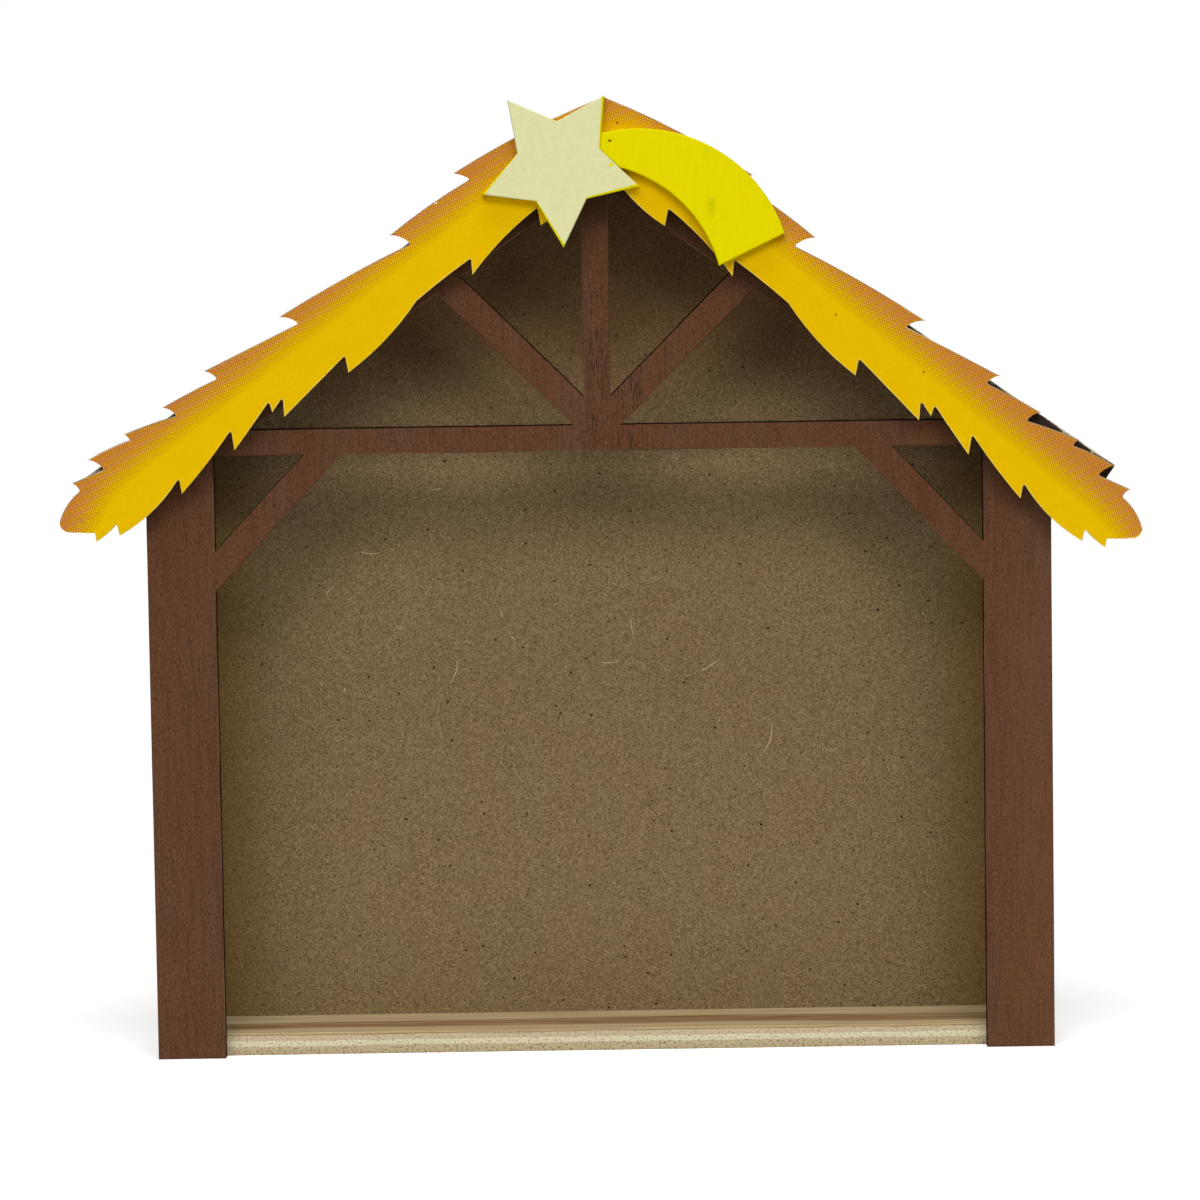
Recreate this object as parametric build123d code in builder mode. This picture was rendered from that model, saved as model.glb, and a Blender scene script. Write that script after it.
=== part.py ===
from build123d import *

import os
from math import atan2, cos, pi, radians, sin, tan

os.makedirs("parts", exist_ok=True)

# A small plywood stable: a front frame cut from one sheet, a shallow box behind it, two roof boards,
# and a straw-edged fascia that carries a comet. Sizes are in millimetres and angles in degrees.
# It stands on Z = 0 and faces -Y, with the middle of its depth at Y = 0.

# Roof: two boards that meet at the ridge and oversail the frame, at the eaves and in front
roof_pitch = 35.0
roof_thickness = 5.3
roof_overhang = 15.64
roof_forward = 4.0

# Box: base board, two side walls and the back panel
box_depth = 26.0
base_thickness = 5.6
side_thickness = 4.0
back_thickness = 3.0

# Front frame: outside sizes, then the timbers left standing between its windows
frame_width = 226.0
frame_thickness = 4.0
eave_height = 151.2
post_width = 17.0
rafter_width = 8.9
beam_height = 6.5
beam_lift = 0.9  # underside of the beam above the eave corners
king_post_width = 6.7
strut_width = 7.0
strut_angle = 45.0
strut_toe = 2.7  # from the king post to the strut's lower edge, along the beam
brace_reach = 32.0  # along the beam, from the post
brace_drop = 34.0  # down the post, from the beam
brace_width = 7.0
cut_overrun = 1.0

# Fascia: a chevron of straw ends, glued to the front of the roof by hand with a slight lean
fascia_thickness = 3.0
fascia_peak = 3.01  # its point above the ridge of the roof boards
fascia_overhang = 5.83  # past the ends of the roof boards
fascia_eave_drop = 17.65  # its lowest straw end below the roof's eave corners
fascia_lean = 1.19
fascia_shift = 0.45  # to the right of the middle, at its foot
notch_radius = 0.35  # at the roots of the notches between the straw ends
notch_turn = 40.0  # the outline turns outwards by more than this at a notch

# Half of the fascia's outline, from the ridge down the upper edge, round the eave end and back up
# the lower edge: shares of its half width and of its height, then how far the cut to the next
# corner bows outwards (or inwards, below zero), as a share of that cut's length.
upper_straw_shares = [
    (0.000, 1.000, 0.025),
    (0.275, 0.828, -0.06),
    (0.247, 0.815, 0.02),
    (0.391, 0.690, -0.10),
    (0.356, 0.671, 0.015),
    (0.595, 0.506, -0.10),
    (0.563, 0.492, 0),
    (0.733, 0.384, -0.12),
    (0.712, 0.367, 0.01),
    (0.810, 0.302, -0.12),
    (0.787, 0.284, 0.015),
    (0.880, 0.242, -0.05),
    (0.871, 0.229, 0.03),
    (0.947, 0.184, -0.10),
    (0.920, 0.163, 0),
    (0.976, 0.131, -0.10),
]
eave_end_shares = [
    (0.963, 0.114, 0.08),
    (1.000, 0.044, 0.20),
    (0.983, 0.021, 0.01),
]
lower_straw_shares = [
    (0.935, 0.019, 0),
    (0.932, 0.000, 0.05),
    (0.895, 0.039, 0),
    (0.889, 0.014, 0.065),
    (0.780, 0.142, 0),
    (0.774, 0.109, 0.016),
    (0.684, 0.249, 0),
    (0.677, 0.207, 0.005),
    (0.614, 0.314, 0),
    (0.607, 0.293, 0),
    (0.589, 0.323, 0),
    (0.585, 0.283, 0),
    (0.474, 0.418, 0),
    (0.467, 0.383, 0.043),
    (0.342, 0.544, -0.011),
    (0.243, 0.637, 0),
    (0.239, 0.603, -0.035),
    (0.121, 0.750, 0),
    (0.114, 0.714, 0.07),
    (0.000, 0.866, 0),
]

# Comet: a five-pointed star and a flaring tail, side by side on the fascia
comet_thickness = 3.0
star_radius = 20.4
star_waist_share = 0.525
star_points = 5
star_turn = 2.1  # of its lowest point, from straight down
star_offset = 8.4  # left of the middle
star_drop = 13.55  # below the ridge of the roof boards
tail_tip_back = 7.4  # where the tail's edges would meet, left of the star's centre
tail_tip_drop = 2.2
tail_reach = 55.35  # upper corner of the far end, right of the star's centre
tail_reach_drop = 17.63
tail_end_width = 18.14
tail_end_slant = 25.5
tail_outer_bow = 18.0
tail_inner_bow = 11.8

# Heights and widths that follow from these
half_width = frame_width / 2
slope = tan(radians(roof_pitch))
ridge_underside = eave_height + half_width * slope
ridge_height = ridge_underside + roof_thickness / cos(radians(roof_pitch))
roof_half_span = half_width + roof_overhang
opening_height = eave_height + beam_lift
beam_top = opening_height + beam_height

# Faces along the depth, from the comet's front to the panel's back
stable_depth = frame_thickness + box_depth + back_thickness
total_depth = comet_thickness + fascia_thickness + roof_forward + stable_depth
panel_back = total_depth / 2
box_back = panel_back - back_thickness
frame_back = box_back - box_depth
frame_front = frame_back - frame_thickness
roof_front = frame_front - roof_forward
fascia_front = roof_front - fascia_thickness


def upright(back_face):
    """A front-facing sketch plane; what is drawn on it is extruded towards the viewer."""
    return Plane.XZ.offset(-back_face)


def house_outline():
    """The gabled outline that the front frame and the back panel share."""
    return [
        (-half_width, 0),
        (half_width, 0),
        (half_width, eave_height),
        (0, ridge_underside),
        (-half_width, eave_height),
    ]


def mirrored(corners, side):
    """The corners of a shape drawn on the right (side 1), or their mirror image (side -1)."""
    return [(side * x, z) for x, z in corners]


# Base board: fills the floor between the side walls
with BuildPart() as base_board:
    with BuildSketch(Plane((0, (frame_back + box_back) / 2, 0))):
        Rectangle(frame_width - 2 * side_thickness, box_depth)
    extrude(amount=base_thickness)
base_board.part.label = "base_board"
export_step(base_board.part, "parts/base_board.step")

# Back panel: a plain gabled sheet over the back of the box
with BuildPart() as back_panel:
    with BuildSketch(upright(panel_back)):
        Polygon(*house_outline(), align=None)
    extrude(amount=back_thickness)
back_panel.part.label = "back_panel"
export_step(back_panel.part, "parts/back_panel.step")

# Side walls: upright planks whose tops are planed to the roof's pitch
for side, hand in ((-1, "left"), (1, "right")):
    inner_face = half_width - side_thickness
    wall_section = [
        (inner_face, 0),
        (half_width, 0),
        (half_width, eave_height),
        (inner_face, eave_height + side_thickness * slope),
    ]
    with BuildPart() as side_wall:
        with BuildSketch(upright(box_back)):
            Polygon(*mirrored(wall_section, side), align=None)
        extrude(amount=box_depth)
    side_wall.part.label = f"{hand}_side_wall"
    export_step(side_wall.part, f"parts/{hand}_side_wall.step")

# Roof boards: mitred at the ridge, cut square at the eaves, from the panel's back to past the frame
for side, hand in ((-1, "left"), (1, "right")):
    eave_top = ridge_height - roof_half_span * slope
    board_section = [
        (0, ridge_underside),
        (0, ridge_height),
        (roof_half_span, eave_top),
        (
            roof_half_span - roof_thickness * sin(radians(roof_pitch)),
            eave_top - roof_thickness * cos(radians(roof_pitch)),
        ),
    ]
    with BuildPart() as roof_board:
        with BuildSketch(upright(panel_back)):
            Polygon(*mirrored(board_section, side), align=None)
        extrude(amount=roof_forward + stable_depth)
    roof_board.part.label = f"{hand}_roof_board"
    export_step(roof_board.part, f"parts/{hand}_roof_board.step")


def frame_windows():
    """The cut-outs of the right half of the front frame: both gable windows and the knee window."""
    strut_rise = tan(radians(strut_angle))
    rafter_peak = ridge_underside - rafter_width / cos(radians(roof_pitch))
    king_side = king_post_width / 2
    toe_x = king_side + strut_toe
    lower_edge = beam_top - toe_x * strut_rise
    upper_edge = lower_edge + strut_width / cos(radians(strut_angle))
    lower_end = (rafter_peak - lower_edge) / (strut_rise + slope)
    upper_end = (rafter_peak - upper_edge) / (strut_rise + slope)
    inner_gable = [
        (king_side, upper_edge + king_side * strut_rise),
        (upper_end, upper_edge + upper_end * strut_rise),
        (king_side, rafter_peak - king_side * slope),
    ]
    outer_gable = [
        (toe_x, beam_top),
        ((rafter_peak - beam_top) / slope, beam_top),
        (lower_end, lower_edge + lower_end * strut_rise),
    ]
    brace_angle = atan2(brace_drop, brace_reach)
    post_face = half_width - post_width
    knee = [
        (post_face, opening_height),
        (post_face - brace_reach + brace_width / sin(brace_angle), opening_height),
        (post_face, opening_height - brace_drop + brace_width / cos(brace_angle)),
    ]
    return [inner_gable, outer_gable, knee]


# Front frame: the gabled sheet, less the doorway with its braced corners and the windows
with BuildPart() as front_frame:
    post_face = half_width - post_width
    doorway_half = [
        (post_face, -cut_overrun),
        (post_face, opening_height - brace_drop),
        (post_face - brace_reach, opening_height),
    ]
    doorway = doorway_half + mirrored(reversed(doorway_half), -1)
    with BuildSketch(upright(frame_back)):
        Polygon(*house_outline(), align=None)
        Polygon(*doorway, align=None, mode=Mode.SUBTRACT)
        for window in frame_windows():
            for side in (-1, 1):
                Polygon(*mirrored(window, side), align=None, mode=Mode.SUBTRACT)
    extrude(amount=frame_thickness)
front_frame.part.label = "front_frame"
export_step(front_frame.part, "parts/front_frame.step")


def cut_edge(start, end, bow_share):
    """One cut of the straw outline: straight, or an arc bowed by a share of its length."""
    if bow_share == 0:
        return Line(start, end)
    cut_length = (Vector(*end) - Vector(*start)).length
    return SagittaArc(start, end, bow_share * cut_length)


def notch_root(before, corner, after):
    """The sharp corner that the cutter rounds to a notch reaching this corner; None if it is no notch."""
    to_before = (Vector(*before) - Vector(*corner)).normalized()
    to_after = (Vector(*after) - Vector(*corner)).normalized()
    outward_turn = to_after.X * to_before.Y - to_after.Y * to_before.X
    opening = to_before.get_angle(to_after)
    if outward_turn < 0 or opening > 180 - notch_turn:
        return None
    overcut = notch_radius / sin(radians(opening / 2)) - notch_radius
    root = Vector(*corner) - (to_before + to_after).normalized() * overcut
    return (root.X, root.Y)


# Thatch fascia: half of the straw outline, mirrored, on a plane that leans with the glued board
with BuildPart() as thatch_fascia:
    fascia_half_width = roof_half_span + fascia_overhang
    fascia_height = roof_half_span * slope + fascia_peak + fascia_eave_drop
    fascia_plane = Plane(
        origin=(fascia_shift, roof_front, ridge_height + fascia_peak - fascia_height),
        x_dir=(cos(radians(fascia_lean)), 0, -sin(radians(fascia_lean))),
        z_dir=(0, -1, 0),
    )
    straw_shares = upper_straw_shares + eave_end_shares + lower_straw_shares
    straw_ends = [(x * fascia_half_width, z * fascia_height) for x, z, bow in straw_shares]
    notch_roots = [
        notch_root(straw_ends[place - 1], straw_ends[place], straw_ends[(place + 1) % len(straw_ends)])
        for place in range(len(straw_ends))
    ]
    straw_corners = [root or end for root, end in zip(notch_roots, straw_ends)]
    next_corners = straw_corners[1:] + straw_corners[:1]
    with BuildSketch(fascia_plane) as half_straw:
        with BuildLine():
            for start, end, shares in zip(straw_corners, next_corners, straw_shares):
                cut_edge(start, end, shares[2])
        make_face()
        roots = [Vector(*root) for root in notch_roots if root]
        fillet(
            [
                corner
                for corner in half_straw.vertices()
                if any((Vector(*corner) - root).length < notch_radius / 10 for root in roots)
            ],
            radius=notch_radius,
        )
        mirror(about=Plane.YZ)
    extrude(amount=fascia_thickness)
thatch_fascia.part.label = "thatch_fascia"
export_step(thatch_fascia.part, "parts/thatch_fascia.step")

# Star: points and waists by turns round its centre, with one point nearly straight down
star_height = ridge_height - star_drop
star_corners = []
for step in range(2 * star_points):
    corner_angle = radians(star_turn) - pi / 2 + step * pi / star_points
    corner_radius = star_radius if step % 2 == 0 else star_radius * star_waist_share
    star_corners.append(
        (corner_radius * cos(corner_angle) - star_offset, corner_radius * sin(corner_angle) + star_height)
    )
with BuildPart() as star:
    with BuildSketch(upright(fascia_front)):
        Polygon(*star_corners, align=None)
    extrude(amount=comet_thickness)
star.part.label = "star"
export_step(star.part, "parts/star.step")

# Comet tail: two arcs that spread to the slanting far end, with the head cut to fit between two points
with BuildPart() as comet_tail:
    tail_tip = (-star_offset - tail_tip_back, star_height - tail_tip_drop)
    tail_top = (tail_reach - star_offset, star_height - tail_reach_drop)
    tail_foot = (
        tail_top[0] - tail_end_width * cos(radians(tail_end_slant)),
        tail_top[1] - tail_end_width * sin(radians(tail_end_slant)),
    )
    with BuildSketch(upright(fascia_front)):
        with BuildLine():
            SagittaArc(tail_tip, tail_top, tail_outer_bow)
            Line(tail_top, tail_foot)
            SagittaArc(tail_foot, tail_tip, -tail_inner_bow)
        make_face()
        Polygon(*star_corners, align=None, mode=Mode.SUBTRACT)
    extrude(amount=comet_thickness)
comet_tail.part.label = "comet_tail"
export_step(comet_tail.part, "parts/comet_tail.step")
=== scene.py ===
# %% [markdown]
# # A plywood crib stable, dressed for its photograph
# The stable is ten flat boards glued together: a stained front frame, a shallow box behind it, two roof
# boards, a printed straw fascia and a painted comet. The boards come in as finished solids, at their real
# size and in metres. This lesson sets up the camera, the light and the floor, then gives each board its
# soft edges and its finish.

from math import cos, pi, radians, sin

import bmesh
import bpy
from mathutils import Euler, Matrix, Vector


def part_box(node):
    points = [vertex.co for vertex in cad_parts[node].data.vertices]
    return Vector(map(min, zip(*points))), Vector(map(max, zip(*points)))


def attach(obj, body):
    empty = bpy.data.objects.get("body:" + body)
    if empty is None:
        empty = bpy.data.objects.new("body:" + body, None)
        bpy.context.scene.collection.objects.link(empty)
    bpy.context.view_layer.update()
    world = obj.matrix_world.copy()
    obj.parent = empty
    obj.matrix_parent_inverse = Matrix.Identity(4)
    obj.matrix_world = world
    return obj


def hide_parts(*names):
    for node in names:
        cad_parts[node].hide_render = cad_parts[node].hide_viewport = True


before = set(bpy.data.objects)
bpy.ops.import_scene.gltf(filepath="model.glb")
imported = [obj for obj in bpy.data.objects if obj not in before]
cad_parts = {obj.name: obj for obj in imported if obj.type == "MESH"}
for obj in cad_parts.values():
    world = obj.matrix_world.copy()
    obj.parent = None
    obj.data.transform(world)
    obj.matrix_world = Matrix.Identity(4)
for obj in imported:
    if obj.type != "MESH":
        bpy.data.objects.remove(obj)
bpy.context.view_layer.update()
mm = 0.001
print("boards:", ", ".join(sorted(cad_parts)))

# %% [markdown]
# ## The camera
# The picture was taken with a long lens from the height of the gable, almost square on, so the posts lean
# hardly at all. A wide lens close by would splay them. The camera stands where the boards' edges fall on
# the same places as in the picture, with the slight tilt of a camera held by hand.

# %% Camera
camera_place = Vector((0, -1.2569, 0.2269))
camera_pitch = radians(5.15)
camera_roll = radians(-0.87)
sensor_width = 36
lens_length = 150

camera_data = bpy.data.cameras.new("camera")
camera_data.sensor_width = sensor_width
camera_data.lens = lens_length
camera = bpy.data.objects.new("camera", camera_data)
bpy.context.scene.collection.objects.link(camera)
camera.matrix_world = (
    Matrix.Translation(camera_place)
    @ Euler((pi / 2 - camera_pitch, 0, 0)).to_matrix().to_4x4()
    @ Matrix.Rotation(camera_roll, 4, "Z")
)
bpy.context.scene.camera = camera
bpy.context.scene.view_settings.view_transform = "Standard"
print("camera", [round(x, 3) for x in camera_place], "lens", camera_data.lens)

# %% [markdown]
# ## Light
# The shadows tell where the light stood. The straw shades the frame far down, so the main softbox is wide
# and well above the camera. The posts shade both sides of the back alike, so weak fills stand left and
# right. One more hangs overhead: it lights the white floor, which throws a good part of the light back up
# from below. The last stands behind, so that the back can be seen from there too.

# %% Softboxes
subject = Vector((0, 0, 0.12))
main_place = subject + Vector((0, -1.35, 1.04))
top_place = subject + Vector((0, -0.38, 1.24))
fill_place = subject + Vector((0.83, -0.99, 0.11))
back_place = Vector((0, 1.6, 1.2))
mirrored = Vector((-1, 1, 1))


def softbox(name, place, width, height, watts):
    """A rectangular lamp that faces the stable."""
    lamp_data = bpy.data.lights.new(name, "AREA")
    lamp_data.shape = "RECTANGLE"
    lamp_data.size = width
    lamp_data.size_y = height
    lamp_data.energy = watts
    lamp = bpy.data.objects.new(name, lamp_data)
    lamp.location = place
    lamp.rotation_euler = (subject - place).to_track_quat("-Z", "Y").to_euler()
    lamp.visible_camera = False
    bpy.context.scene.collection.objects.link(lamp)
    print(name, width, "m by", height, "m,", watts, "W")


softbox("main_softbox", main_place, width=1.6, height=0.65, watts=19.0)
softbox("top_softbox", top_place, width=1.0, height=0.4, watts=7.1)
for name, place in (("left_fill", fill_place * mirrored), ("right_fill", fill_place)):
    softbox(name, place, width=0.46, height=0.23, watts=1.7)
softbox("back_softbox", back_place, width=1.6, height=0.8, watts=12)

# %% [markdown]
# ## Tools for node trees
# The room and every finish below are small trees of nodes. Wiring each node by hand would hide the idea
# under the wiring, so a few helpers do it: one adds a node, one does arithmetic, one turns a value into a
# soft mask, and one mixes two colours by a mask. Colours are written as a picture shows them.

# %% Node helpers


def add_node(tree, kind, inputs=None, **settings):
    """A shader node with its settings made, and each input set to a value or linked to a socket."""
    made = tree.nodes.new("ShaderNode" + kind)
    for name, value in settings.items():
        setattr(made, name, value)
    for key, value in (inputs or {}).items():
        if isinstance(value, bpy.types.NodeSocket):
            tree.links.new(value, made.inputs[key])
        else:
            made.inputs[key].default_value = value
    return made


def sums(tree, operation, first, second=0.0):
    """One step of arithmetic on numbers or sockets."""
    return add_node(tree, "Math", {0: first, 1: second}, operation=operation).outputs[0]


def ramp(tree, value, start=0.3, end=0.7):
    """Goes smoothly from 0, where the value is start, to 1, where it is end."""
    inputs = {"Value": value, "From Min": start, "From Max": end}
    return add_node(tree, "MapRange", inputs, interpolation_type="SMOOTHSTEP").outputs["Result"]


def mixed(tree, mask, first, second, most=1.0):
    """The first colour, turned into the second where the mask is 1, or at most by a share."""
    if most < 1:
        mask = sums(tree, "MULTIPLY", mask, most)
    return add_node(tree, "Mix", {0: mask, 6: first, 7: second}, data_type="RGBA").outputs[2]


def paint(red, green, blue):
    """A colour as a picture shows it, 0 to 255, turned into the linear light that shaders work in."""
    shares = [channel / 255 for channel in (red, green, blue)]
    return (*[s / 12.92 if s < 0.04045 else ((s + 0.055) / 1.055) ** 2.4 for s in shares], 1)


print("mid grey is", [round(x, 3) for x in paint(128, 128, 128)[:3]])

# %% [markdown]
# ## White room
# The background is plain white. The world is white for the camera and for reflections, but lights the
# boards only dimly, because a world bright enough to look white would wash out their shadows. The Light
# Path node tells these two uses apart.

# %% World
ambient_strength = 0.02
white = (1, 1, 1, 1)


def seen_directly(tree):
    """A factor that is 1 for camera, mirror and glass rays, and 0 for rays that carry light."""
    path = add_node(tree, "LightPath").outputs
    seen = sums(tree, "MAXIMUM", path["Is Camera Ray"], path["Is Glossy Ray"])
    return sums(tree, "MAXIMUM", seen, path["Is Transmission Ray"])


world = bpy.data.worlds.new("white_room")
bpy.context.scene.world = world
world.use_nodes = True
room = world.node_tree
dim_sky = add_node(room, "Background", {"Color": white, "Strength": ambient_strength}).outputs[0]
white_sky = add_node(room, "Background", {"Color": white, "Strength": 1.0}).outputs[0]
sky = add_node(room, "MixShader", {0: seen_directly(room), 1: dim_sky, 2: white_sky}).outputs[0]
room.links.new(sky, room.nodes["World Output"].inputs["Surface"])
print("world lights at", ambient_strength)

# %% [markdown]
# ## Floor
# The stable stood on a sheet of white card, which keeps its shadow and throws light up under the roof.
# Beyond the card there was little to throw light back, so the floor turns dark there. The camera mustn't
# see that: a glow, for its eyes alone, lifts the card to the white of the world and grows where the floor
# turns dark, so that no horizon shows.

# %% Floor
floor_half = 4.0
card_white = paint(243, 243, 243)
beyond_card = paint(70, 70, 70)
card_reach = 0.3
card_end = 0.62
near_glow = 0.42
far_glow = 1.0

floor_shape = bmesh.new()
bmesh.ops.create_grid(floor_shape, x_segments=1, y_segments=1, size=floor_half)
floor_mesh = bpy.data.meshes.new("floor")
floor_shape.to_mesh(floor_mesh)
floor_shape.free()
floor = bpy.data.objects.new("floor", floor_mesh)
bpy.context.scene.collection.objects.link(floor)

floor_paint = bpy.data.materials.new("floor_white")
floor_paint.use_nodes = True
tree = floor_paint.node_tree
tree.nodes.remove(tree.nodes["Principled BSDF"])
coords = add_node(tree, "TexCoord").outputs["Object"]
away = add_node(tree, "VectorMath", {0: coords}, operation="LENGTH").outputs["Value"]
off_card = ramp(tree, away, card_reach, card_end)
levels = {"Value": off_card, "To Min": near_glow, "To Max": far_glow}
strength = add_node(tree, "MapRange", levels).outputs["Result"]
strength = sums(tree, "MULTIPLY", strength, seen_directly(tree))
glow = add_node(tree, "Emission", {"Color": white, "Strength": strength}).outputs[0]
card = mixed(tree, off_card, card_white, beyond_card)
matt = add_node(tree, "BsdfDiffuse", {"Color": card}).outputs[0]
lit_floor = add_node(tree, "AddShader", {0: matt, 1: glow}).outputs[0]
tree.links.new(lit_floor, tree.nodes["Material Output"].inputs["Surface"])
floor_mesh.materials.append(floor_paint)
print("floor", 2 * floor_half, "m square")

# %% [markdown]
# ## Boards with soft edges
# A solid straight from the drawing has edges as sharp as glass, and nothing catches the light there. A
# Bevel modifier could round them, but the drawing's mesh is loose triangles. So a copy is welded first,
# and its flat triangles are joined into whole faces.

# %% Welded copies
weld_gap = 0.001 * mm
flat_angle = radians(0.5)


def welded_copy(node):
    """The solid's mesh with its loose triangles joined into whole flat faces."""
    board = bmesh.new()
    board.from_mesh(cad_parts[node].data)
    bmesh.ops.remove_doubles(board, verts=board.verts, dist=weld_gap)
    bmesh.ops.dissolve_limit(board, angle_limit=flat_angle, verts=board.verts, edges=board.edges)
    return board


print("welding closer than", weld_gap / mm, "mm")

# %% [markdown]
# The outline edges of the copy are then bevelled, and each face gets a number that picks its finish: the
# broad face, the sawn edge, or the narrow arris between them, where it faces up or down. A fifth number is
# for a back that is finished otherwise than the front.

# %% Soft edges
outline_angle = radians(30)
square_on = 0.995
facing = 0.99
edge_on = 0.1
towards_viewer = Vector((0, -1, 0))
upwards = Vector((0, 0, 1))
sideways = Vector((1, 0, 0))
broad_face, sawn_edge, upper_arris, lower_arris, back_face = range(5)


def outline_edges(board, broad):
    """The edges where a broad face, square to the given direction, meets a sawn one."""
    found = []
    for edge in board.edges:
        if len(edge.link_faces) != 2 or edge.calc_face_angle() < outline_angle:
            continue
        if any(abs(face.normal.dot(broad)) > cos(flat_angle) for face in edge.link_faces):
            found.append(edge)
    return found


def soften(board, broad, arris, steps):
    """Bevels the outline and sorts the faces into broad faces, sawn edges and arrises."""
    bmesh.ops.bevel(
        board,
        geom=outline_edges(board, broad),
        offset=arris,
        segments=steps,
        profile=0.5,
        affect="EDGES",
        material=-1,
    )
    for face in board.faces:
        squareness = abs(face.normal.dot(broad))
        if squareness > square_on:
            face.material_index = broad_face
        elif squareness < edge_on:
            face.material_index = sawn_edge
        else:
            face.material_index = upper_arris if face.normal.z > 0 else lower_arris


def finish_back(board, finish_number):
    """Gives the broad faces that look away from the viewer a finish of their own."""
    for face in board.faces:
        if face.normal.dot(towards_viewer) < -facing:
            face.material_index = finish_number


print("bevelling edges over", round(outline_angle * 180 / pi), "degrees")

# %% [markdown]
# Last, the copy becomes an object in place of its solid. Its mesh already lies where the solid does, so
# the object stays at the origin. It takes its finishes in the order of the numbers above.

# %% Boards in place


def place_board(board, node, name, finishes):
    """Turns a shaped copy into a piece that stands for its solid."""
    mesh = bpy.data.meshes.new(name)
    board.to_mesh(mesh)
    board.free()
    for finish in finishes:
        mesh.materials.append(finish)
    piece = bpy.data.objects.new(name, mesh)
    bpy.context.scene.collection.objects.link(piece)
    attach(piece, "root")
    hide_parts(node)
    print(name, "has", len(mesh.polygons), "faces")


print("ready to place", len(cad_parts), "boards")

# %% [markdown]
# ## Patterns
# Wood, paint and print all come from a few patterns that are read at the board's own coordinates: soft
# noise, and specks in the cells of a Voronoi pattern. The coordinates are first turned into millimetres
# and stretched, so a stretch of 0.1 gives lumps 10 mm long. Image textures could do it too, but they blur
# from close by and need a map for every board.

# %% Pattern helpers
noise_middle = 0.5


def millimetres(tree, stretch=(1, 1, 1), place=(0, 0, 0), turn=0.0):
    """The board's coordinates in millimetres from a place, turned about the depth axis, then stretched."""
    coords = add_node(tree, "TexCoord").outputs["Object"]
    sizes = [mm / share for share in stretch]
    inputs = {"Vector": coords, "Location": place, "Rotation": (0, turn, 0), "Scale": sizes}
    return add_node(tree, "Mapping", inputs, vector_type="TEXTURE").outputs[0]


def axes(tree, **placing):
    """The X, Y and Z of those coordinates, each a socket."""
    return add_node(tree, "SeparateXYZ", {"Vector": millimetres(tree, **placing)}).outputs


def cloud(tree, stretch, detail=2.0, roughness=0.5, **placing):
    """Soft noise with one lump to each unit of the stretched coordinates."""
    coords = millimetres(tree, stretch, **placing)
    inputs = {"Vector": coords, "Scale": 1.0, "Detail": detail, "Roughness": roughness}
    return add_node(tree, "TexNoise", inputs).outputs["Fac"]


def swing(tree, noise, width):
    """Noise moved to lie around nought, over about a width."""
    return sums(tree, "MULTIPLY", sums(tree, "SUBTRACT", noise, noise_middle), width)


def specks(tree, stretch, radius, share):
    """1 inside round specks. There is at most one speck to each unit, and only a share of units has one."""
    cells = add_node(tree, "TexVoronoi", {"Vector": millimetres(tree, stretch), "Scale": 1.0})
    draw = add_node(tree, "SeparateColor", {"Color": cells.outputs["Color"]}).outputs["Red"]
    chosen = sums(tree, "LESS_THAN", draw, share)
    return sums(tree, "MULTIPLY", ramp(tree, cells.outputs["Distance"], radius, radius / 2), chosen)


def new_finish(name, specular=0.05):
    """A material, its node tree and its shader."""
    finish = bpy.data.materials.new(name)
    finish.use_nodes = True
    shader = finish.node_tree.nodes["Principled BSDF"]
    shader.inputs["Specular IOR Level"].default_value = specular
    return finish, finish.node_tree, shader


def surface(tree, shader, colour, rough, height, depth):
    """Wires a colour, a pair of roughness limits and a height pattern of a depth in millimetres."""
    tree.links.new(colour, shader.inputs["Base Color"])
    spread = {"Value": height, "To Min": rough[0], "To Max": rough[1]}
    tree.links.new(add_node(tree, "MapRange", spread).outputs["Result"], shader.inputs["Roughness"])
    bump = add_node(tree, "Bump", {"Height": height, "Distance": depth * mm})
    tree.links.new(bump.outputs[0], shader.inputs["Normal"])


print("patterns are scaled by", round(1 / mm), "from metres to millimetres")

# %% [markdown]
# ## Stained veneer
# The frame is thin plywood stained red brown. The grain runs upright everywhere, in the beam and struts
# too, because all of it is cut from one sheet. Noise that is squeezed across and stretched upwards makes
# that grain: broad bands of tone, fine fibres, a close weave of short ones and, on the king post, dark
# pores in patches. The stain is a little paler on the right post, so a mask shifts it there. A second
# mask paints shade into the frame's top, where the straw fascia's shadow falls on it.

# %% Stain
band_tones = (paint(99, 64, 41), paint(97, 67, 48))
fibre_brown = paint(76, 48, 31)
weave_dark = paint(66, 38, 20)
weave_light = paint(132, 95, 71)
pore_dark = paint(44, 28, 19)
fleck_pale = paint(150, 116, 92)
right_post_tint = paint(122, 84, 60)
# Painted shade: the colour that darkens the frame's top under the straw fascia, where its shadow falls.
painted_straw_shadow_tint = paint(58, 38, 24)
pore_middle = 4.5
pore_core = 5
pore_reach = 8.5
right_post_start = 92
right_post_full = 112
painted_straw_shadow_start = 195
painted_straw_shadow_full = 216


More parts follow.
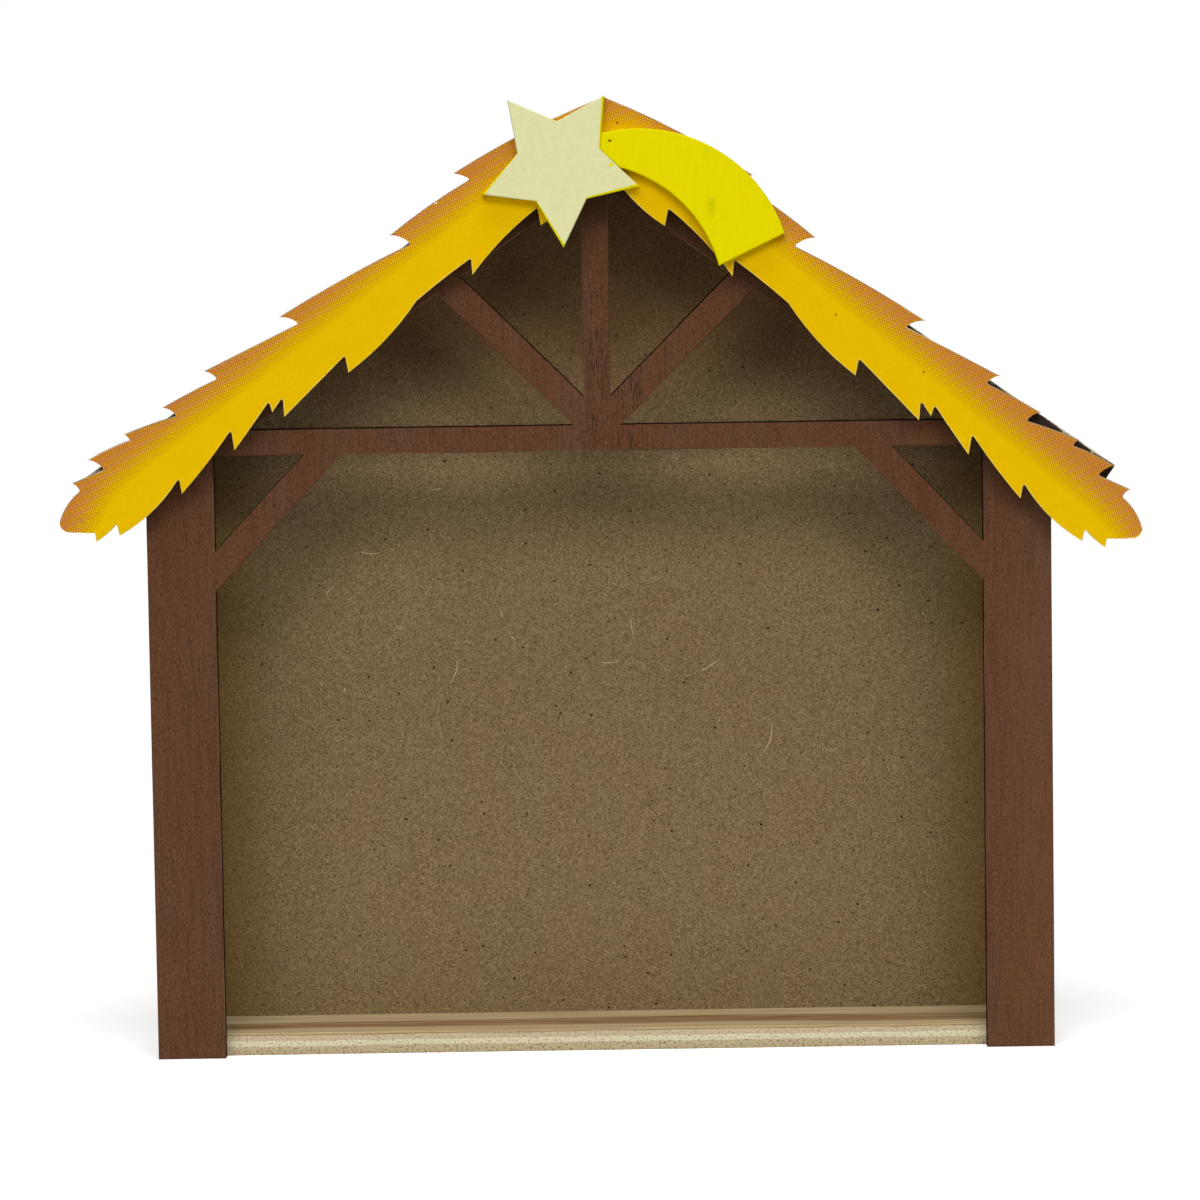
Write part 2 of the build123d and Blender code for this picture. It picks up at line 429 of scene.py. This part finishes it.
def stained_veneer(name):
    """Stain on upright grain, with shade painted in under the straw fascia."""
    finish, tree, shader = new_finish(name)
    bands = cloud(tree, (0.09, 0.09, 0.012), detail=3)
    fibres = cloud(tree, (1.7, 1.7, 0.1), roughness=0.6)
    weave = cloud(tree, (2.6, 2.6, 1.1), detail=3, roughness=0.7)
    pores = cloud(tree, (5.0, 5.0, 0.38), detail=1)
    patches = cloud(tree, (0.06, 0.06, 0.012), detail=1)
    flecks = specks(tree, (0.12, 0.12, 0.12), radius=0.025, share=0.3)
    parts = axes(tree)
    off_middle = sums(tree, "ABSOLUTE", sums(tree, "SUBTRACT", parts["X"], pore_middle))
    near_middle = ramp(tree, off_middle, pore_reach, pore_core)
    patches = sums(tree, "MULTIPLY", ramp(tree, patches, 0.36, 0.5), near_middle)
    open_pores = sums(tree, "MULTIPLY", ramp(tree, pores, 0.565, 0.64), patches)
    right_post = ramp(tree, parts["X"], right_post_start, right_post_full)
    painted_straw_shadow = ramp(tree, parts["Z"], painted_straw_shadow_start, painted_straw_shadow_full)
    tone = mixed(tree, ramp(tree, bands, 0.35, 0.65), *band_tones)
    tone = mixed(tree, ramp(tree, fibres, 0.4, 0.7), tone, fibre_brown, most=0.5)
    tone = mixed(tree, ramp(tree, weave, 0.52, 0.3), tone, weave_dark)
    tone = mixed(tree, ramp(tree, weave, 0.58, 0.78), tone, weave_light)
    tone = mixed(tree, open_pores, tone, pore_dark)
    tone = mixed(tree, flecks, tone, fleck_pale)
    tone = mixed(tree, right_post, tone, right_post_tint, most=0.17)
    # Painted shade: the frame's top is darkened under the straw fascia.
    tone = mixed(tree, painted_straw_shadow, tone, painted_straw_shadow_tint, most=0.45)
    surface(tree, shader, tone, rough=(0.75, 0.55), height=weave, depth=0.06)
    return finish


stain = stained_veneer("stained_veneer")
print("made", stain.name)

# %% [markdown]
# ## Scorched edges
# A laser cut the sheets and left their edges nearly black, with the plies showing as faint bands. The
# camera sees these edges, and the burnt arris beside them, as dark lines along the tops of the beam and
# struts. The bands follow the depth of the sheet, so the pattern is squeezed that way and long in others.
# Char has no gloss, so its specular level is nought.

# %% Scorch


def scorched_edge(name, dark, light):
    """Bands of plies between a dark and a light tone, with dark char over them."""
    finish, tree, shader = new_finish(name, specular=0.0)
    plies = cloud(tree, (0.05, 0.9, 0.05), detail=1)
    char = cloud(tree, (1.2, 1.2, 1.2), detail=3)
    tone = mixed(tree, ramp(tree, plies, 0.4, 0.65), dark, light)
    tone = mixed(tree, ramp(tree, char, 0.5, 0.8), tone, dark)
    surface(tree, shader, tone, rough=(0.9, 0.7), height=char, depth=0.08)
    return finish


scorch = scorched_edge("scorched_edge", paint(13, 9, 6), paint(40, 27, 18))
worn_stain = scorched_edge("worn_stain", paint(86, 57, 41), paint(126, 92, 69))
print("made", scorch.name, "and", worn_stain.name)

# %% [markdown]
# ## Front frame and side walls
# Posts, beam, braces and struts are one sheet, so the frame is one piece. Its upper arrises are burnt, and
# its lower ones are rubbed back to pale stain. The side walls are planks that stand edge on behind it, so
# their broad faces look sideways.

# %% Front frame and side walls
burnt_set = (stain, scorch, scorch, worn_stain)
stained_set = (stain, scorch, worn_stain, worn_stain)
frame_sheet = welded_copy("front_frame")
soften(frame_sheet, towards_viewer, arris=0.16 * mm, steps=1)
place_board(frame_sheet, "front_frame", "front_frame_sheet", burnt_set)
for hand in ("left", "right"):
    side_plank = welded_copy(f"{hand}_side_wall")
    soften(side_plank, sideways, arris=0.2 * mm, steps=2)
    place_board(side_plank, f"{hand}_side_wall", f"{hand}_side_plank", stained_set)

# %% [markdown]
# ## Hardboard
# The back is a sheet of pressed wood fibre: olive brown, finely speckled, with darker bark specks and a
# few pale fibres. The speckle is close noise, faint clouds of a redder tone are wide noise, and the specks
# sit in the cells of a Voronoi pattern, where only some cells are allowed one. In the gable and beside the
# posts two soft masks paint shade into the front, darker and browner than the lamps' shadows make it.

# %% Hardboard finish
hardboard_tones = (paint(132, 112, 80), paint(133, 110, 79))
speckle_dark = paint(64, 46, 17)
speckle_light = paint(194, 167, 122)
hair_pale = paint(172, 150, 114)
bark_sizes = [
    {"stretch": (0.6, 0.6, 0.6), "radius": 0.17, "share": 0.5},
    {"stretch": (0.25, 0.25, 0.3), "radius": 0.12, "share": 0.4},
    {"stretch": (0.1, 0.1, 0.12), "radius": 0.05, "share": 0.45},
]
bark_tones = (paint(52, 38, 21), paint(42, 30, 18), paint(38, 27, 16))
bark_strengths = (0.9, 1.0, 1.0)
# Painted shade: the colours and reaches of the shade painted beside the posts and in the gable.
painted_post_shade = paint(126, 90, 2)
painted_gable_shade = paint(112, 64, 2)
post_shade_start = 82
post_shade_full = 98
gable_shade_start = 150
gable_shade_full = 188


def pressed_fibre(name, shaded):
    """Pressed wood fibre; if shaded, with shade painted in beside the posts and in the gable."""
    finish, tree, shader = new_finish(name)
    speckle = cloud(tree, (3.0, 3.0, 3.0), detail=4, roughness=0.8)
    hue = cloud(tree, (0.07, 0.07, 0.07), detail=3)
    hairs = cloud(tree, (0.35, 0.35, 0.35), detail=0)
    hair_places = cloud(tree, (0.09, 0.09, 0.09), place=(0.1, 0, 0.3))
    off_hair = sums(tree, "ABSOLUTE", sums(tree, "SUBTRACT", hairs, noise_middle))
    on_hair = ramp(tree, off_hair, 0.012, 0.004)
    on_hair = sums(tree, "MULTIPLY", on_hair, ramp(tree, hair_places, 0.62, 0.68))
    tone = mixed(tree, ramp(tree, hue, 0.35, 0.65), *hardboard_tones)
    tone = mixed(tree, ramp(tree, speckle, 0.54, 0.32), tone, speckle_dark)
    tone = mixed(tree, ramp(tree, speckle, 0.55, 0.7), tone, speckle_light)
    tone = mixed(tree, on_hair, tone, hair_pale, most=0.4)
    for sizes, bark_tone, strength in zip(bark_sizes, bark_tones, bark_strengths):
        tone = mixed(tree, specks(tree, **sizes), tone, bark_tone, most=strength)
    if shaded:
        # Painted shade: the front is darkened and browned beside the posts and in the gable.
        parts = axes(tree)
        shade_by_posts = ramp(tree, sums(tree, "ABSOLUTE", parts["X"]), post_shade_start, post_shade_full)
        shade_in_gable = ramp(tree, parts["Z"], gable_shade_start, gable_shade_full)
        tone = mixed(tree, shade_by_posts, tone, painted_post_shade, most=0.34)
        tone = mixed(tree, shade_in_gable, tone, painted_gable_shade, most=0.36)
    surface(tree, shader, tone, rough=(0.85, 0.65), height=speckle, depth=0.08)
    return finish


hardboard = pressed_fibre("pressed_fibre", shaded=True)
# The back of the sheet gets no painted shade.
unshaded_hardboard = pressed_fibre("unshaded_fibre", shaded=False)
sawn_hardboard = scorched_edge("sawn_hardboard", paint(70, 52, 34), paint(112, 90, 62))
hardboard_set = (hardboard, sawn_hardboard, hardboard, hardboard, unshaded_hardboard)
back_sheet = welded_copy("back_panel")
soften(back_sheet, towards_viewer, arris=0.15 * mm, steps=1)
finish_back(back_sheet, back_face)
place_board(back_sheet, "back_panel", "back_panel_sheet", hardboard_set)

# %% [markdown]
# ## Loose fibres
# Some pale fibres lie on the hardboard like short hairs. Noise can't put one in a chosen place, so each
# is a hair-thin curve drawn by three points of the panel, half sunk into it and turned into a mesh.

# %% Fibres on the panel
fibre_radius = 0.11 * mm
end_share = 0.5
fibre_lines = [
    ((-37.2, 96.8), (-36.0, 95.5), (-38.8, 90.9)),
    ((-34.6, 102.1), (-34.2, 101.8), (-33.6, 101.3)),
    ((-72.1, 91.6), (-71.8, 91.2), (-71.4, 91.0)),
    ((-66.0, 90.3), (-65.8, 90.0), (-65.7, 89.5)),
    ((-68.1, 116.5), (-69.4, 115.5), (-70.2, 114.2)),
    ((25.7, 93.5), (28.0, 94.3), (29.9, 96.0)),
    ((43.7, 79.4), (43.6, 74.2), (41.2, 72.1)),
    ((8.0, 106.7), (7.5, 104.9), (8.6, 103.0)),
    ((82.4, 107.7), (82.6, 107.1), (83.0, 106.7)),
    ((0.2, 96.0), (2.3, 95.4), (4.6, 96.2)),
    ((-60.9, 125.2), (-58.5, 124.3), (-56.1, 125.0)),
    ((-42.5, 140.8), (-41.3, 141.2), (-40.0, 141.1)),
    ((-23.0, 102.9), (-22.5, 102.7), (-22.0, 102.1)),
    ((-25.4, 109.4), (-25.4, 108.6), (-25.0, 108.1)),
]
panel_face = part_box("back_panel")[0].y

hair_curve = bpy.data.curves.new("fibre_lines", "CURVE")
hair_curve.dimensions = "3D"
hair_curve.bevel_depth = fibre_radius
hair_curve.bevel_resolution = 1
hair_curve.resolution_u = 6
hair_curve.use_fill_caps = True
for line in fibre_lines:
    hair = hair_curve.splines.new("NURBS")
    hair.points.add(len(line) - 1)
    for point, (x, z) in zip(hair.points, line):
        point.co = (x * mm, panel_face, z * mm, 1)
        point.radius = 1 if (x, z) == line[1] else end_share
    hair.order_u = 3
    hair.use_endpoint_u = True
hair_object = bpy.data.objects.new("fibre_lines", hair_curve)
fibre_mesh = bpy.data.meshes.new_from_object(hair_object)
bpy.data.objects.remove(hair_object)
print("panel_fibres:", len(fibre_lines), "strands,", len(fibre_mesh.polygons), "faces")

# %% [markdown]
# The fibres are paler than nearly all of the sheet, and a little uneven in tone along their length.

# %% Fibre finish
fibre_tones = (paint(186, 167, 128), paint(226, 211, 176))


def loose_fibre(name):
    """Pale fibre, a little uneven."""
    finish, tree, shader = new_finish(name)
    unevenness = cloud(tree, (2, 2, 2))
    tone = mixed(tree, ramp(tree, unevenness), *fibre_tones)
    surface(tree, shader, tone, rough=(0.7, 0.6), height=unevenness, depth=0.02)
    return finish


pale_fibre = loose_fibre("pale_fibre")
fibre_mesh.materials.clear()
fibre_mesh.materials.append(pale_fibre)
panel_fibres = bpy.data.objects.new("panel_fibres", fibre_mesh)
bpy.context.scene.collection.objects.link(panel_fibres)
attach(panel_fibres, "root")
print("made", pale_fibre.name)

# %% [markdown]
# ## Bare plywood
# The floor board has no stain. Its top shows long pale grain with a brown streak. The streak is a band
# along the board, at one depth. Wide noise makes it waver, and the grain breaks it up.

# %% Bare veneer
veneer_tones = (paint(196, 176, 138), paint(168, 144, 104))
streak_brown = paint(118, 88, 50)
streak_middle = 3
streak_half = 4.5
streak_edge = 1.5
streak_waver = 14


def bare_face(name):
    """Long pale grain with one wavering streak."""
    finish, tree, shader = new_finish(name)
    grain = cloud(tree, (0.03, 0.9, 0.9), detail=4, roughness=0.6)
    waver = cloud(tree, (0.012, 0.012, 0.012), detail=1)
    away = sums(tree, "SUBTRACT", axes(tree)["Y"], streak_middle)
    away = sums(tree, "ADD", away, swing(tree, waver, streak_waver))
    away = sums(tree, "ABSOLUTE", away)
    streak = ramp(tree, away, streak_half + streak_edge, streak_half - streak_edge)
    streak = sums(tree, "MULTIPLY", streak, ramp(tree, grain, 0.7, 0.4))
    tone = mixed(tree, ramp(tree, grain), *veneer_tones)
    tone = mixed(tree, streak, tone, streak_brown)
    surface(tree, shader, tone, rough=(0.75, 0.6), height=grain, depth=0.06)
    return finish


bare_top = bare_face("bare_veneer")
print("made", bare_top.name)

# %% [markdown]
# The front edge shows the plies: thin light ones with the grain lengthwise, and a rough one cut across the
# grain. Height picks the ply, so a colour ramp over the Z coordinate draws them all, and a little noise
# keeps their lines from being ruled.

# %% Plies
ply_shares = [
    (0.00, paint(178, 162, 128)),
    (0.38, paint(190, 176, 142)),
    (0.40, paint(214, 206, 174)),
    (0.63, paint(218, 210, 178)),
    (0.65, paint(194, 180, 148)),
    (0.88, paint(198, 182, 148)),
    (0.90, paint(120, 94, 60)),
    (0.94, paint(184, 160, 122)),
]
rough_ply_share = 0.4
rough_ply_full_share = 0.36
ply_waver_share = 0.12
end_grain_brown = paint(150, 124, 84)
rough_ply_dark = paint(92, 72, 42)


def ply_edge(name, thickness):
    """Plies one above the other, for a board of a thickness that lies on the floor."""
    finish, tree, shader = new_finish(name)
    waver = cloud(tree, (0.08, 0.08, 0.5))
    end_grain = cloud(tree, (1.6, 1.6, 1.6), detail=3, roughness=0.7)
    level = sums(tree, "DIVIDE", axes(tree)["Z"], thickness / mm)
    level = sums(tree, "ADD", level, swing(tree, waver, ply_waver_share))
    plies = add_node(tree, "ValToRGB", {"Fac": level})
    stops = plies.color_ramp.elements
    while len(stops) < len(ply_shares):
        stops.new(1.0)
    for stop, (share, colour) in zip(stops, ply_shares):
        stop.position = share
        stop.color = colour
    in_rough_ply = ramp(tree, level, rough_ply_share, rough_ply_full_share)
    in_rough_ply = sums(tree, "MULTIPLY", in_rough_ply, ramp(tree, end_grain, 0.48, 0.3))
    tone = mixed(tree, ramp(tree, end_grain, 0.55, 0.25), plies.outputs["Color"], end_grain_brown)
    tone = mixed(tree, in_rough_ply, tone, rough_ply_dark)
    surface(tree, shader, tone, rough=(0.9, 0.7), height=end_grain, depth=0.12)
    return finish


base_low, base_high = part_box("base_board")
bare_plies = ply_edge("bare_plies", base_high.z - base_low.z)
base_ply = welded_copy("base_board")
soften(base_ply, upwards, arris=0.2 * mm, steps=2)
base_set = (bare_top, bare_plies, bare_top, bare_plies)
place_board(base_ply, "base_board", "base_board_ply", base_set)

# %% [markdown]
# ## Roof boards
# The roof is painted dark brown, with the brush drawn down the slope. Pale spots gather towards its rims,
# most on the left board, and the front rim shows in the notches of the straw. They are partly rubbed paint
# and partly a painted highlight along the top edge. Noise that is raised towards the rim, then cut at a
# level, makes those spots. The top has a little more gloss than the sawn ends.

# %% Roof paint
roof_pitch = radians(35)
ridge_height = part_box("left_roof_board")[1].z
roof_tones = (paint(58, 41, 32), paint(44, 30, 23))
pale_wear_and_highlight = paint(184, 178, 148)
rim_reach = 1.2
rim_rise = 0.2
pale_spot_start = 0.76
pale_spot_full = 0.84
top_wear_and_highlight = -0.3
end_wear_and_highlight = {"left": 0.14, "right": 0.08}


def roof_paint(name, side, gloss, rough, wear_and_highlight):
    """Paint for the board that falls to one side, -1 left or 1 right, with pale spots of wear and painted
    highlight.
    """
    finish, tree, shader = new_finish(name, specular=gloss)
    tilt = side * roof_pitch
    grain = cloud(tree, (0.03, 0.9, 0.9), detail=4, roughness=0.6, turn=tilt)
    chips = cloud(tree, (0.3, 0.6, 0.6), detail=4, roughness=0.65, turn=tilt)
    height = axes(tree, place=(0, 0, ridge_height), turn=tilt)["Z"]
    near_rim = sums(tree, "MULTIPLY", ramp(tree, height, -rim_reach, 0), rim_rise)
    rubbed = sums(tree, "ADD", sums(tree, "ADD", chips, near_rim), wear_and_highlight)
    tone = mixed(tree, ramp(tree, grain), *roof_tones)
    # Pale spots near the rims: partly rubbed paint, partly a painted highlight along the top edge.
    tone = mixed(tree, ramp(tree, rubbed, pale_spot_start, pale_spot_full), tone, pale_wear_and_highlight)
    surface(tree, shader, tone, rough=rough, height=grain, depth=0.06)
    return finish


for side, hand in ((-1, "left"), (1, "right")):
    wear_and_highlight = end_wear_and_highlight[hand]
    board_top = roof_paint(f"{hand}_roof_top", side, gloss=0.2, rough=(0.6, 0.45), wear_and_highlight=top_wear_and_highlight)
    board_end = roof_paint(f"{hand}_roof_end", side, gloss=0.1, rough=(0.7, 0.5), wear_and_highlight=wear_and_highlight)
    board_rim = roof_paint(f"{hand}_roof_rim", side, gloss=0.1, rough=(0.7, 0.5), wear_and_highlight=2 * wear_and_highlight)
    roof_plank = welded_copy(f"{hand}_roof_board")
    soften(roof_plank, Vector((side * sin(roof_pitch), 0, cos(roof_pitch))), arris=0.3 * mm, steps=2)
    roof_set = (board_top, board_end, board_rim, board_end)
    place_board(roof_plank, f"{hand}_roof_board", f"{hand}_roof_plank", roof_set)

# %% [markdown]
# ## Straw print
# The fascia is printed: plain straw yellow, shading to burnt orange towards the upper straw ends. The
# shade isn't painted but screened, in rows of dots that grow until they touch. So three straight lines,
# along the slopes, across the outer ends and under the peak, say where the shade begins. How far a point
# lies past them sets how much ink it gets. The print sits a little askew on the cut outline, as prints do.

# %% Ink
print_foot = (-0.1 * mm, 0, 129.07 * mm)
ends_foot = (1.7 * mm, 0, 129.07 * mm)
print_lean = radians(1.54)
slope_direction = (0.627, 0, 0.779)
slope_reach = 84.0
end_direction = (0.889, 0, 0.459)
end_reach = 113.3
peak_direction = (0, 0, 1)
peak_reach = 102
corner_rounding = 3.0
shade_depth = 8.3
shade_growth = 0.55
most_ink = 0.75


def distance_below(tree, coords, direction, reach):
    """Millimetres from a line back into the board; the line lies at a reach along a direction."""
    along = add_node(tree, "VectorMath", {0: coords, 1: direction}, operation="DOT_PRODUCT").outputs["Value"]
    return sums(tree, "SUBTRACT", reach, along)


def folded(tree, coords):
    """Coordinates with the left half laid over the right one."""
    return add_node(tree, "VectorMath", {0: coords}, operation="ABSOLUTE").outputs["Vector"]


def ink_level(tree):
    """How much ink there is: none in the plain yellow, rising to most_ink at the straw ends."""
    upright = millimetres(tree, place=print_foot, turn=print_lean)
    across = millimetres(tree, place=ends_foot, turn=print_lean)
    below_slope = distance_below(tree, folded(tree, upright), slope_direction, slope_reach)
    inside_end = distance_below(tree, folded(tree, across), end_direction, end_reach)
    below_peak = distance_below(tree, upright, peak_direction, peak_reach)
    nearest = below_slope
    for limit in (inside_end, below_peak):
        limits = {0: nearest, 1: limit, 2: corner_rounding}
        nearest = add_node(tree, "Math", limits, operation="SMOOTH_MIN").outputs[0]
    drift = swing(tree, cloud(tree, (0.08, 0.08, 0.08)), 1.0)
    nearest = sums(tree, "ADD", nearest, drift)
    shade = {"Value": nearest, "From Min": 0.0, "From Max": -shade_depth}
    depth = add_node(tree, "MapRange", shade).outputs["Result"]
    return sums(tree, "MULTIPLY", sums(tree, "POWER", depth, shade_growth), most_ink)


print("the shade grows over", shade_depth, "mm")

# %% [markdown]
# The dots come from a grid of cosine hills, turned by the screen's angle. Ink fills the hollows between
# the hills up to its level: a little of it leaves small separate dots, and more of it dots that touch.
# Small dots look browner than the solid shade, so the ink's colour follows the level too. A few chips and
# dark specks are blots round listed points.

# %% Dots and print
screen_turn = radians(-13.3)
dot_pitch = 0.535
inch = 25.4
dot_softness = 0.05
no_depth = 0.001
straw_tones = (paint(230, 186, 0), paint(226, 181, 0))
burnt_tones = (paint(189, 112, 56), paint(180, 102, 52))
small_dot_brown = paint(174, 98, 12)
straw_spots = [
    ((-39.1, 214.4), 0.5, paint(238, 222, 170)),
    ((-87.0, 176.4), 0.3, paint(150, 90, 20)),
    ((6.0, 233.4), 0.4, paint(150, 70, 30)),
    ((59.4, 185.3), 0.35, paint(110, 70, 20)),
    ((81.0, 170.7), 0.35, paint(110, 66, 20)),
]


def dot_hills(tree):
    """The screen: hills from 0 to 1, with a hollow for each dot."""
    step = 2 * pi / dot_pitch
    parts = axes(tree, stretch=(step, step, step), place=print_foot, turn=screen_turn)
    waves = sums(tree, "ADD", sums(tree, "COSINE", parts["X"]), sums(tree, "COSINE", parts["Z"]))
    return sums(tree, "ADD", sums(tree, "MULTIPLY", waves, 0.25), 0.5)


def blot(tree, middle, radius, edge=0.5, across=1, up=1):
    """1 near a point (X, Z) of a face, fading over a share of the radius. A stretch under 1 draws it out."""
    x, z = middle
    coords = millimetres(tree, stretch=(across, no_depth, up))
    ends = {0: coords, 1: (x * across, 0, z * up)}
    away = add_node(tree, "VectorMath", ends, operation="DISTANCE").outputs["Value"]
    return ramp(tree, away, radius, radius * (1 - edge))


def straw_print(name):
    """Straw yellow with the screened shade and a few spots."""
    finish, tree, shader = new_finish(name, specular=0.02)
    ink = ink_level(tree)
    dots = ramp(tree, sums(tree, "SUBTRACT", ink, dot_hills(tree)), -dot_softness, dot_softness)
    grain = cloud(tree, (2.5, 2.5, 2.5))
    straw = mixed(tree, ramp(tree, grain), *straw_tones)
    burnt = mixed(tree, ramp(tree, grain), *burnt_tones)
    burnt = mixed(tree, ramp(tree, ink, 0.3, 0.6), small_dot_brown, burnt)
    tone = mixed(tree, dots, straw, burnt)
    for middle, radius, colour in straw_spots:
        tone = mixed(tree, blot(tree, middle, radius), tone, colour)
    surface(tree, shader, tone, rough=(0.55, 0.45), height=grain, depth=0.02)
    return finish


straw_face = straw_print("straw_print")
print("made", straw_face.name, "with", round(inch / dot_pitch), "dots to the inch")

# %% [markdown]
# ## The fascia's rim
# Along the upper straw ends the rim of the print is rubbed to a tan hairline. Along the lower rim the
# print stops short and leaves a hairline of pale primer. All this lies flat in the face, so the face is
# inset by a narrow strip instead of bevelled. Where a strip lies, and which way the sawn edge beside it
# faces, picks its finish. The back is bare wood.

# %% Fascia
rim_width = 0.25 * mm
upper_side = Vector((0.618, 0, 0.786))
upper_reach = 186 * mm


def rim_finish(strip):
    """Pale on the lower rim. On the upper one rubbed, or printed where the sawn edge faces down."""
    middle = strip.calc_center_median()
    if Vector((abs(middle.x), 0, middle.z)).dot(upper_side) < upper_reach:
        return lower_arris
    sawn = [face for edge in strip.edges for face in edge.link_faces if abs(face.normal.y) < edge_on]
    return upper_arris if sum(face.normal.z for face in sawn) > 0 else broad_face


fascia_edge = scorched_edge("fascia_edge", paint(46, 36, 28), paint(96, 82, 66))
rubbed_rim = scorched_edge("rubbed_rim", paint(164, 136, 96), paint(202, 176, 138))
pale_rim = scorched_edge("pale_rim", paint(216, 180, 46), paint(226, 196, 84))

straw_board = welded_copy("thatch_fascia")
front_faces = [face for face in straw_board.faces if face.normal.dot(towards_viewer) > facing]
inset = bmesh.ops.inset_region(
    straw_board, faces=front_faces, thickness=rim_width, use_even_offset=True, use_boundary=True
)
for face in straw_board.faces:
    face.material_index = sawn_edge if abs(face.normal.y) < edge_on else broad_face
for strip in inset["faces"]:
    strip.material_index = rim_finish(strip)
finish_back(straw_board, back_face)
fascia_set = (straw_face, fascia_edge, rubbed_rim, pale_rim, bare_top)
place_board(straw_board, "thatch_fascia", "thatch_fascia_board", fascia_set)

# %% [markdown]
# ## Comet tail
# The tail is painted a sharp, slightly green yellow, over its edges too. The brush left faint streaks, and
# handling left green smudges and a dark speck. A smudge is a blot round one point, made ragged by noise.

# %% Yellow paint
tail_tones = (paint(227, 215, 0), paint(225, 212, 0))
smudge_green = paint(150, 150, 10)
faint_green = paint(190, 190, 10)
dirt_brown = paint(90, 80, 20)
smudge_middle = (28.9, 212.4)
faint_middle = (27.8, 226.0)
dirt_middle = (4.1, 229.0)


def yellow_paint(name):
    """Brushed yellow with two smudges and a speck."""
    finish, tree, shader = new_finish(name, specular=0.02)
    streaks = cloud(tree, (0.7, 0.7, 0.15), detail=3)
    pores = cloud(tree, (2.2, 2.2, 2.2))
    smudge = blot(tree, smudge_middle, radius=1.7, edge=0.9, up=0.45)
    smudge = sums(tree, "MULTIPLY", smudge, ramp(tree, pores))
    faint = blot(tree, faint_middle, radius=1.8, edge=0.9, up=0.6)
    dirt = blot(tree, dirt_middle, radius=0.4, across=0.7)
    tone = mixed(tree, ramp(tree, streaks), *tail_tones)
    tone = mixed(tree, smudge, tone, smudge_green, most=0.55)
    tone = mixed(tree, faint, tone, faint_green, most=0.2)
    tone = mixed(tree, dirt, tone, dirt_brown)
    surface(tree, shader, tone, rough=(0.6, 0.45), height=pores, depth=0.03)
    return finish


tail_paint = yellow_paint("yellow_paint")
tail_board = welded_copy("comet_tail")
soften(tail_board, towards_viewer, arris=0.4 * mm, steps=3)
place_board(tail_board, "comet_tail", "comet_tail_board", [tail_paint] * 4)

# %% [markdown]
# ## Star
# The star is yellow like the tail, with a cream face printed over it a little askew, so yellow shows along
# some edges and at two of the points. A star-shaped mask could be drawn point by point. Folding is
# shorter: the angle round the centre is folded until one half of one point is left, and there the star's
# edge is a single straight line.

# %% Star outline
print_radius = 20.1
waist_share = 0.525
print_waist = waist_share * print_radius
print_centre = (-8.44 * mm, 0, 223.4 * mm)
print_turn = radians(3.6)
half_point = pi / 5


def star_edge_distance(tree):
    """Millimetres outside the printed star's outline, below zero inside it."""
    coords = millimetres(tree, stretch=(1, no_depth, 1), place=print_centre, turn=-print_turn)
    parts = add_node(tree, "SeparateXYZ", {"Vector": coords}).outputs
    out = add_node(tree, "VectorMath", {0: coords}, operation="LENGTH").outputs["Value"]
    angle = sums(tree, "ARCTAN2", parts["X"], sums(tree, "MULTIPLY", parts["Z"], -1.0))
    fold = sums(tree, "PINGPONG", angle, half_point)
    edge = Vector((print_waist * cos(half_point) - print_radius, print_waist * sin(half_point)))
    normal = Vector((edge.y, -edge.x)).normalized()
    ahead = sums(tree, "MULTIPLY", sums(tree, "COSINE", fold), normal.x)
    aside = sums(tree, "MULTIPLY", sums(tree, "SINE", fold), normal.y)
    outward = sums(tree, "MULTIPLY", out, sums(tree, "ADD", ahead, aside))
    return sums(tree, "SUBTRACT", outward, print_radius * normal.x)


print("printed star:", print_radius, "mm to a point,", round(print_waist, 2), "mm to the waist")

# %% [markdown]
# The cream is soft and fibrous, with a few greenish marks. The upper left point is cream to its edges, so
# a box round it is added to the mask, and one spot on the right was missed by the print.

# %% Star face
cream_tones = (paint(224, 223, 171), paint(219, 218, 163))
mark_green = paint(160, 156, 100)
star_yellows = (paint(226, 216, 0), paint(220, 208, 0))
ragged_width = 0.2
print_edge_start = 0.04
print_edge_full = -0.06
cream_point_right = -9
cream_point_foot = 226
cream_point_fade = 2
missed_middle = (4.3, 223.1)


def cream_face(name):
    """Cream inside the printed star, yellow outside it."""
    finish, tree, shader = new_finish(name, specular=0.02)
    fibres = cloud(tree, (0.9, 0.9, 0.9), detail=5, roughness=0.7)
    pores = cloud(tree, (2.4, 2.4, 2.4))
    marks = specks(tree, (0.13, 0.13, 0.24), radius=0.045, share=0.3)
    cream = mixed(tree, ramp(tree, fibres), *cream_tones)
    cream = mixed(tree, marks, cream, mark_green, most=0.5)
    yellow = mixed(tree, ramp(tree, pores), *star_yellows)
    outside = sums(tree, "ADD", star_edge_distance(tree), swing(tree, pores, ragged_width))
    printed = ramp(tree, outside, print_edge_start, print_edge_full)
    parts = axes(tree)
    leftwards = ramp(tree, parts["X"], cream_point_right, cream_point_right - cream_point_fade)
    above = ramp(tree, parts["Z"], cream_point_foot, cream_point_foot + cream_point_fade)
    printed = sums(tree, "MAXIMUM", printed, sums(tree, "MULTIPLY", leftwards, above))
    missed = blot(tree, missed_middle, radius=0.75, up=1.3)
    printed = sums(tree, "MULTIPLY", printed, sums(tree, "SUBTRACT", 1.0, missed))
    tone = mixed(tree, printed, yellow, cream)
    surface(tree, shader, tone, rough=(0.6, 0.45), height=fibres, depth=0.03)
    return finish


star_face = cream_face("cream_face")
star_board = welded_copy("star")
soften(star_board, towards_viewer, arris=0.3 * mm, steps=3)
finish_back(star_board, sawn_edge)
star_set = (star_face, tail_paint, star_face, star_face)
place_board(star_board, "star", "star_board", star_set)
